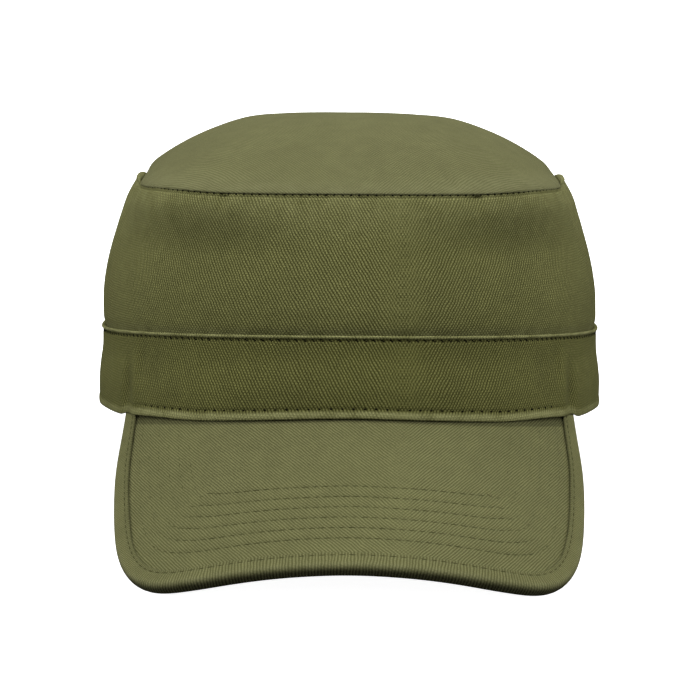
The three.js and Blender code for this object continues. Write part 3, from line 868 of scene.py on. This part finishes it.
def clothMaterial(name, weave, light, dark, grooveAndPaintedShade, angle=62.0, mirror=0.0, blend=0.009, pitch=0.00094,
                  floatLength=0.0009, beads=0.5, relief=0.00022, sheen=0.05):
    material, tree, shader = newMaterial(name)
    uv = addNode(tree, "ShaderNodeUVMap", {}, uv_map="cloth")
    inputs = {"Cloth": uv.outputs["UV"], "Pitch": pitch, "Angle": angle, "Mirror": mirror, "Blend": blend,
              "Float Length": floatLength, "Beads": beads}
    twill = addNode(tree, "ShaderNodeGroup", inputs, node_tree=weave)
    place = tree.nodes.new("ShaderNodeTexCoord").outputs["Object"]
    cloudy = noiseNode(tree, place, 26.0, 4.0, 0.6)
    fine = noiseNode(tree, place, 190.0, 3.0, 0.6)
    # light ribs and dark hollows: the twill's pattern, with a painted highlight on the ribs and painted shade
    # between them
    colour = colourMix(tree, remap(tree, twill.outputs["Height"], 0.05, 0.85, 0.0, 1.0), dark, light)
    for pattern, low, high in ((cloudy, 0.93, 1.06), (fine, 0.94, 1.06), (twill.outputs["Yarn"], 0.9, 1.1)):
        colour = colourMix(tree, 1.0, colour, remap(tree, pattern, 0.3, 0.7, low, high), "MULTIPLY")
    # a lighter, paler colour: wear, and painted highlight
    wearAndPaintedLightColour = colourMix(tree, 1.0, colour, olive(1.7, 2.0), "MULTIPLY")
    wearAndPaintedLightColour = colourMix(tree, 0.7, wearAndPaintedLightColour, olive(1.4 * light[0], 1.4 * light[2] + 0.03))
    wearAndPaintedLightAmount = times(tree, markNode(tree, "wearAndPaintedLight"), remap(tree, fine, 0.35, 0.65, 0.35, 0.85))
    colour = colourMix(tree, wearAndPaintedLightAmount, colour, wearAndPaintedLightColour)
    # painted shade: towards the shade colour where the shade mark is set, more in the weave's hollows
    hollows = remap(tree, twill.outputs["Height"], 0.2, 0.9, 0.62, 0.46)
    shaded = times(tree, markNode(tree, "grooveAndPaintedShade"), hollows)
    colour = colourMix(tree, shaded, colour, grooveAndPaintedShade)
    link(tree, colour, shader.inputs["Base Color"])
    link(tree, remap(tree, twill.outputs["Height"], 0.0, 1.0, 0.98, 0.82), shader.inputs["Roughness"])
    shader.inputs["Specular IOR Level"].default_value = 0.1
    shader.inputs["Sheen Weight"].default_value = sheen
    shader.inputs["Sheen Roughness"].default_value = 0.45
    shader.inputs["Sheen Tint"].default_value = (0.72, 0.72, 0.38, 1.0)
    height = mathNode(tree, "MULTIPLY_ADD", twill.outputs["Yarn"], 0.18, twill.outputs["Height"])
    addBump(tree, height, relief, shader)
    return material


def threadMaterial(name, light, dark):
    material, tree, shader = newMaterial(name)
    place = tree.nodes.new("ShaderNodeTexCoord").outputs["Object"]
    strands = noiseNode(tree, place, 2400.0, 2.0, 0.6)
    colour = colourMix(tree, remap(tree, strands, 0.3, 0.7, 0.0, 1.0), dark, light)
    link(tree, colour, shader.inputs["Base Color"])
    link(tree, remap(tree, strands, 0.2, 0.8, 0.75, 0.95), shader.inputs["Roughness"])
    shader.inputs["Specular IOR Level"].default_value = 0.05
    addBump(tree, strands, 0.0001, shader)
    return material


# Stitches: Geometry Nodes put one thread loop at each point of a seam

stitches = {
    "crown": {"length": 0.7, "width": 0.6, "height": 0.5, "spacing": 2.6, "seed": 1},
    "band": {"length": 0.85, "width": 0.56, "height": 0.48, "spacing": 2.7, "edgeSpacing": 3.5, "seed": 2},
    "peak": {"length": 2.3, "width": 0.3, "height": 0.22, "spacing": 3.0, "seed": 3},
    "binding": {"length": 1.9, "width": 0.3, "height": 0.24, "spacing": 3.0, "seed": 4},
}


def stitchTree(material):
    tree = bpy.data.node_groups.new("stitchRow", "GeometryNodeTree")
    tree.interface.new_socket("Seam", in_out="INPUT", socket_type="NodeSocketGeometry")
    for name, value in (("Length", 0.0018), ("Width", 0.0005), ("Height", 0.0004), ("Unevenness", 0.15)):
        socket = tree.interface.new_socket(name, in_out="INPUT", socket_type="NodeSocketFloat")
        socket.default_value = value
    socket = tree.interface.new_socket("Seed", in_out="INPUT", socket_type="NodeSocketInt")
    socket.default_value = 4
    tree.interface.new_socket("Stitches", in_out="OUTPUT", socket_type="NodeSocketGeometry")
    given, result = tree.nodes.new("NodeGroupInput"), tree.nodes.new("NodeGroupOutput")
    loop = addNode(tree, "GeometryNodeMeshUVSphere", {"Segments": 8, "Rings": 5, "Radius": 0.5})
    put = addNode(tree, "GeometryNodeInstanceOnPoints",
                  {"Points": given.outputs["Seam"], "Instance": loop.outputs["Mesh"]})
    axes = addNode(tree, "FunctionNodeAxesToRotation", {}, primary_axis="Z", secondary_axis="X")
    for name, socket in (("seamUp", "Primary Axis"), ("seamRun", "Secondary Axis")):
        read = addNode(tree, "GeometryNodeInputNamedAttribute", {"Name": name}, data_type="FLOAT_VECTOR")
        link(tree, read.outputs["Attribute"], axes.inputs[socket])
    link(tree, axes.outputs["Rotation"], put.inputs["Rotation"])
    sizes = {"X": given.outputs["Length"], "Y": given.outputs["Width"], "Z": given.outputs["Height"]}
    size = addNode(tree, "ShaderNodeCombineXYZ", sizes)
    low = mathNode(tree, "SUBTRACT", 1.0, given.outputs["Unevenness"])
    high = mathNode(tree, "ADD", 1.0, given.outputs["Unevenness"])
    dice = addNode(tree, "FunctionNodeRandomValue", {2: low, 3: high, "Seed": given.outputs["Seed"]},
                   data_type="FLOAT")
    scale = addNode(tree, "ShaderNodeVectorMath", {0: size.outputs[0], "Scale": dice.outputs[1]},
                    operation="SCALE")
    link(tree, scale.outputs[0], put.inputs["Scale"])
    real = addNode(tree, "GeometryNodeRealizeInstances", {0: put.outputs["Instances"]})
    finish = addNode(tree, "GeometryNodeSetMaterial", {"Geometry": real.outputs[0], "Material": material})
    link(tree, finish.outputs[0], result.inputs[0])
    return tree


def stitchRow(name, tree, rows, stitch):
    # rows: lists of places, runs and ups in the cap's own frame
    place, runs, ups = [np.concatenate(parts) for parts in zip(*rows)]
    sine, cosine = rest["sine"], rest["cosine"]
    turned = np.array([[1.0, 0.0, 0.0], [0.0, cosine, sine], [0.0, -sine, cosine]])
    mesh = bpy.data.meshes.new(name)
    mesh.from_pydata(worldPoints(place).tolist(), [], [])
    for mark, vectors in (("seamRun", runs), ("seamUp", ups)):
        attribute = mesh.attributes.new(mark, "FLOAT_VECTOR", "POINT")
        attribute.data.foreach_set("vector", (vectors @ turned.T).ravel())
    seam = bpy.data.objects.new(name + "Seam", mesh)
    bpy.context.collection.objects.link(seam)
    modifier = seam.modifiers.new("stitches", "NODES")
    modifier.node_group = tree
    sockets = {item.name: item.identifier for item in tree.interface.items_tree if item.in_out == "INPUT"}
    for key in ("Length", "Width", "Height"):
        modifier[sockets[key]] = stitch[key.lower()] * mm
    modifier[sockets["Seed"]] = stitch["seed"]
    bpy.context.view_layer.update()
    made = bpy.data.meshes.new_from_object(seam.evaluated_get(bpy.context.evaluated_depsgraph_get()))
    bpy.data.objects.remove(seam)
    piece = bpy.data.objects.new(name, made)
    bpy.context.collection.objects.link(piece)
    made.polygons.foreach_set("use_smooth", [True] * len(made.polygons))
    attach(piece, "root")


def spacedRow(points, ups, spacing):
    run = runLength(points)
    at = np.arange(spacing / 2.0, run[-1], spacing)
    place, ahead, up = [np.stack([np.interp(where, run, values[:, axis]) for axis in range(3)], axis=1)
                        for where, values in ((at, points), (at + 0.5, points), (at, ups))]
    along = ahead - place
    return place, along / (np.linalg.norm(along, axis=1, keepdims=True) + 1e-9), up


def outwardUps(points, tilt):
    # directions out of the upright wall, tilted up by a share
    return unit(points * (1.0, 1.0, 0.0)) + (0.0, 0.0, tilt)


def peakStitchRows():
    rows = []
    edge = rowPlane(flatBoard(*peakOuterEdge(1500).T))
    run = np.gradient(edge, axis=0)
    normal = unit(np.stack([run[:, 1], -run[:, 0]], axis=1))
    if normal[len(normal) // 2, 1] < 0.0:
        normal = -normal
    slant = math.sqrt(1.0 + peak["slope"] ** 2)
    side = sidewaysShare(edge)
    for offset in peak["rowOffsets"]:
        near = (edge + normal * offset)[:, 0] * peak["rowSqueeze"]
        away = offset + rowShift(near, offset, side)
        flat = edge + normal * away[:, None]
        reached = np.array([np.hypot(*(edge - point).T).min() for point in flat])
        keep = reached > away - 0.12
        flat = flat[keep] * (peak["rowSqueeze"], 1.0)
        y = flat[:, 1] / slant - oval["frontLength"]
        radius = archRadius(y)
        x = radius * np.sin(flat[:, 0] / radius)
        plan = np.stack([x, y], axis=1)
        outlineRadius = ovalRadius(np.arctan2(x, -y), 1.0, 1.0, 1.0)
        plan = plan[np.hypot(x, y) > outlineRadius - 0.5]
        places = onBoard(plan, mix(peak["grooveDepth"] - 0.05, 0.06, sidewaysShare(plan)))
        rows.append(spacedRow(places, boardNormal(plan[:, 0], plan[:, 1]), stitches["peak"]["spacing"]))
    return rows


def crownStitchRows():
    angle = np.linspace(-math.pi, math.pi, 1441)
    radius = seamRadius(angle) + 0.15 - 0.3 * seamEnds(angle) - 0.5 * rollShare(angle)
    points = roundPoints(radius, angle, seamHeight(angle))
    return [spacedRow(points, outwardUps(points, 0.5), stitches["crown"]["spacing"])]


def bandStitchRows():
    # two rows under the lip, the second one shifted along, and one row over the rolled edge
    angle = np.linspace(-math.pi, math.pi, 1441)[None, :]
    topSeam = bandShape["height"] - band["topSeam"]
    rows = []
    for height, start in ((topSeam + 0.2, 0), (topSeam - 0.35, 5)):
        points = np.roll(bandPoints(angle[:, :-1], np.array([[height]]), 0.25)[0], start, axis=0)
        rows.append(spacedRow(points, outwardUps(points, 0.0), stitches["band"]["spacing"]))
    turn = turnDegrees(angle)
    sunk = 0.06 + 0.36 * smooth(turn, 40.0, 46.0) * (1.0 - smooth(turn, 95.0, 105.0))
    points = bandPoints(angle, np.array([[band["edgeSeam"]]]), sunk)[0]
    rows.append(spacedRow(points, outwardUps(points, 0.0), stitches["band"]["edgeSpacing"]))
    return rows


def bindingStitchRows():
    edge, out, up = bindingFrame(900)
    inset = out * (binding["stitchInset"] - binding["width"])
    lift = binding["gap"] + binding["cloth"] - 0.12
    spacing = stitches["binding"]["spacing"]
    return [spacedRow(edge + inset + up * lift, up, spacing),
            spacedRow(edge + inset - up * (peak["thickness"] + lift), -up, spacing)]


weave = twillGroup()
# One olive twill in every piece. Each piece's last colour is the colour of its painted shade.
cloth = {
    "crown": {
        "angle": 50.0,
        "relief": 0.0001,
        "light": olive(0.15, 0.069),
        "dark": olive(0.095, 0.037),
        "grooveAndPaintedShade": olive(0.03, 0.01),
    },
    "wall": {
        "mirror": 0.017,
        "light": olive(0.198, 0.072),
        "dark": olive(0.054, 0.014),
        "grooveAndPaintedShade": olive(0.02, 0.006),
    },
    # The band's colours are darker than the wall's: painted shade, as the band faces a little downwards under
    # the light from above.
    "band": {
        "mirror": 0.017,
        "light": olive(0.173, 0.056),
        "dark": olive(0.047, 0.011),
        "grooveAndPaintedShade": olive(0.012, 0.004),
    },
    "peak": {
        "angle": 50.0,
        "mirror": 0.016,
        "blend": 0.005,
        "beads": 0.25,
        "relief": 0.00015,
        "light": olive(0.145, 0.062),
        "dark": olive(0.07, 0.026),
        "grooveAndPaintedShade": olive(0.02, 0.007),
    },
    "binding": {
        "angle": 86.0,
        "mirror": -1.0,
        "beads": 0.25,
        "relief": 0.00018,
        "light": olive(0.148, 0.063),
        "dark": olive(0.076, 0.028),
        "grooveAndPaintedShade": olive(0.008, 0.002),
    },
}
thread = {
    # The seam stitches are near black: painted shade of the needle holes and gaps that the dots stand for,
    # not the thread's own colour.
    "seam": {"light": olive(0.01, 0.003), "dark": olive(0.004, 0.001)},
    "row": {"light": olive(0.06, 0.022), "dark": olive(0.035, 0.012)},
}
twills = {key: clothMaterial(key + "Twill", weave, **look) for key, look in cloth.items()}

for make, key, slot, node in ((makeTop, "crown", "crown_cloth", "crown_top"),
                              (makeWall, "wall", "wall_cloth", "crown_wall"),
                              (makeBand, "band", "band_cloth", "band"),
                              (makePeak, "peak", "peak_cloth", "peak"),
                              (makeBinding, "binding", "binding_cloth", "peak_binding")):
    piece = make()
    dress(piece, twills[key], slot, node)
    print(piece.name, len(piece.data.polygons), "faces")

seamTree = stitchTree(threadMaterial("seamStitchPaintedShade", **thread["seam"]))
rowTree = stitchTree(threadMaterial("rowThread", **thread["row"]))
for name, tree, makeRows, slot, key in (
        ("crownStitches", seamTree, crownStitchRows, "wall_cloth", "crown"),
        ("bandStitches", seamTree, bandStitchRows, "band_cloth", "band"),
        ("peakStitches", rowTree, peakStitchRows, "peak_cloth", "peak"),
        ("bindingStitches", rowTree, bindingStitchRows, "binding_cloth", "binding")):
    stitchRow(name, tree, makeRows(), stitches[key])
print("stitches made")

# Floor, light and camera

studio = {
    "floorSize": 9.0,
    "lens": 150.0,
    "cameraPlace": (0.15, -1000.0, 105.0),
    "cameraTarget": (0.15, 0.0, 16.5),
    "roll": 0.35,
    "worldStrength": 0.2,
    "suns": {
        "overheadLight": {"direction": (0.0, 0.1, -1.0), "strength": 2.85, "spread": 70.0},
        "frontLight": {"direction": (0.0, 0.62, -0.78), "strength": 0.25, "spread": 40.0},
        "leftLight": {"direction": (1.0, 0.25, -0.35), "strength": 1.48, "spread": 50.0},
        "rightLight": {"direction": (-1.0, 0.25, -0.35), "strength": 1.48, "spread": 50.0},
    },
    "floorSeen": (0.95, 0.95, 0.95, 1.0),
    "floorBounce": (0.09, 0.09, 0.087, 1.0),
    "floorGlow": 0.96,
}


def makeFloor():
    half = studio["floorSize"] / 2.0
    mesh = bpy.data.meshes.new("floor")
    corners = [(-half, -half, 0.0), (half, -half, 0.0), (half, half, 0.0), (-half, half, 0.0)]
    mesh.from_pydata(corners, [], [(0, 1, 2, 3)])
    floor = bpy.data.objects.new("floor", mesh)
    bpy.context.collection.objects.link(floor)
    material, tree, shader = newMaterial("paleFloor")
    # white where it is seen, but it throws little light back up, as the photo's cut out background
    seen = tree.nodes.new("ShaderNodeLightPath").outputs["Is Camera Ray"]
    colour = colourMix(tree, seen, studio["floorBounce"], studio["floorSeen"])
    link(tree, colour, shader.inputs["Base Color"])
    shader.inputs["Emission Color"].default_value = (1.0, 1.0, 1.0, 1.0)
    link(tree, times(tree, seen, studio["floorGlow"]), shader.inputs["Emission Strength"])
    shader.inputs["Roughness"].default_value = 0.9
    shader.inputs["Specular IOR Level"].default_value = 0.0
    mesh.materials.append(material)


def sunLight(name, direction, strength, spread):
    data = bpy.data.lights.new(name, "SUN")
    data.energy = strength
    data.angle = math.radians(spread)
    lamp = bpy.data.objects.new(name, data)
    bpy.context.collection.objects.link(lamp)
    lamp.rotation_euler = Vector(direction).to_track_quat("-Z", "Y").to_euler()


def makeCamera():
    # placed in the cap's own frame, so the picture looks along its rim as the photo does
    place, target = worldPoints(np.array([studio["cameraPlace"], studio["cameraTarget"]]))
    data = bpy.data.cameras.new("camera")
    data.lens = studio["lens"]
    data.sensor_width = 36.0
    camera = bpy.data.objects.new("camera", data)
    bpy.context.collection.objects.link(camera)
    camera.location = place
    look = Vector(target - place).to_track_quat("-Z", "Y")
    camera.rotation_euler = (look @ Quaternion((0.0, 0.0, 1.0), math.radians(studio["roll"]))).to_euler()
    bpy.context.scene.camera = camera


makeFloor()
for name, sun in studio["suns"].items():
    sunLight(name, **sun)
world = bpy.data.worlds.new("studio")
world.use_nodes = True
world.node_tree.nodes["Background"].inputs["Color"].default_value = (1.0, 1.0, 1.0, 1.0)
world.node_tree.nodes["Background"].inputs["Strength"].default_value = studio["worldStrength"]
bpy.context.scene.world = world
bpy.context.scene.view_settings.view_transform = "Standard"
makeCamera()
print("studio made")
